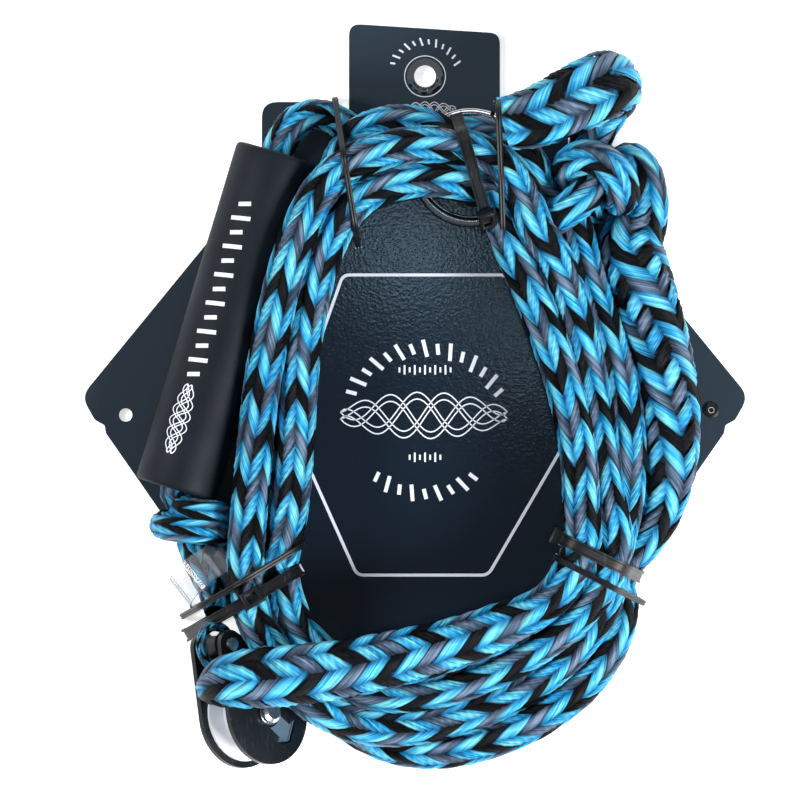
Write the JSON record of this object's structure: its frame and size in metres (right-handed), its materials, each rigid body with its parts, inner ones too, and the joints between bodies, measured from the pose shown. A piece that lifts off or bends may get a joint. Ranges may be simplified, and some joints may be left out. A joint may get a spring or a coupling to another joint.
{
  "type": "boat tow harness on a display card",
  "caption": "Braided boat tow harness with foam float, pulley block, steel ring and spliced eye, coiled and tied flat on a die-cut hanging card.",
  "frame": {"origin": "centre of the object's footprint, at the plane that it rests on when it lies on its back", "axes": "+Z out of the card's printed face, +Y up the card towards its hanging eyelet, +X to the right of the printed face"},
  "size_m": [0.297, 0.3339, 0.0601],
  "materials": {
    "card": "glossy printed board with a fine leather grain",
    "foam": "matte closed-cell foam",
    "rope": "glossy hollow-braid polyethylene",
    "black_plastic": "satin moulded nylon",
    "white_plastic": "satin moulded nylon",
    "clear_plastic": "clear flexible tube",
    "chrome": "polished",
    "steel": "zinc plated"
  },
  "bodies": {
    "root": {"display_card": "card", "hang_eyelet": "chrome", "eyelet_washer": "steel", "card_rivet": "black_plastic", "card_rivet_pin": "black_plastic", "block_cheek_front": "black_plastic", "block_cheek_back": "black_plastic", "block_bush": "steel", "axle_washer_front": "steel", "axle_washer_back": "steel", "axle_bolt": "steel", "axle_nut": "steel", "head_spool": "black_plastic", "head_pin": "steel", "clear_sleeve": "clear_plastic", "rope_coil": "rope", "harness_thick_end": "rope", "spliced_eye": "rope", "stopper_knot": "rope", "block_bight": "rope", "leader_lower": "rope", "leader_upper": "rope", "leader_wraps": "rope", "leader_block_eye": "rope", "leader_ring_eye": "rope", "harness_ring_eye": "rope", "strap_top": "black_plastic", "strap_top_head": "black_plastic", "strap_left": "black_plastic", "strap_left_head": "black_plastic", "strap_right": "black_plastic", "strap_right_head": "black_plastic", "tie_top_left": "black_plastic", "tie_top_right": "black_plastic", "tie_bottom_left": "black_plastic", "tie_bottom_right": "black_plastic"},
    "sheave": {"block_sheave": "white_plastic"},
    "float": {"foam_float": "foam"},
    "ring": {"steel_ring": "chrome"}
  },
  "joints": [
    {"name": "sheave_spin", "type": "hinge", "parent": "root", "child": "sheave", "pos_m": [-0.0725, -0.1427, 0.0242], "axis": [0.6816, 0.1203, 0.7217], "continuous": true},
    {"name": "float_turn", "type": "hinge", "parent": "root", "child": "float", "pos_m": [-0.1071, -0.0423, 0.0215], "axis": [0.2889, 0.9574, 0], "continuous": true},
    {"name": "ring_turn", "type": "hinge", "parent": "root", "child": "ring", "pos_m": [0.0249, 0.1022, 0.0128], "axis": [0, 0, 1], "continuous": true}
  ]
}
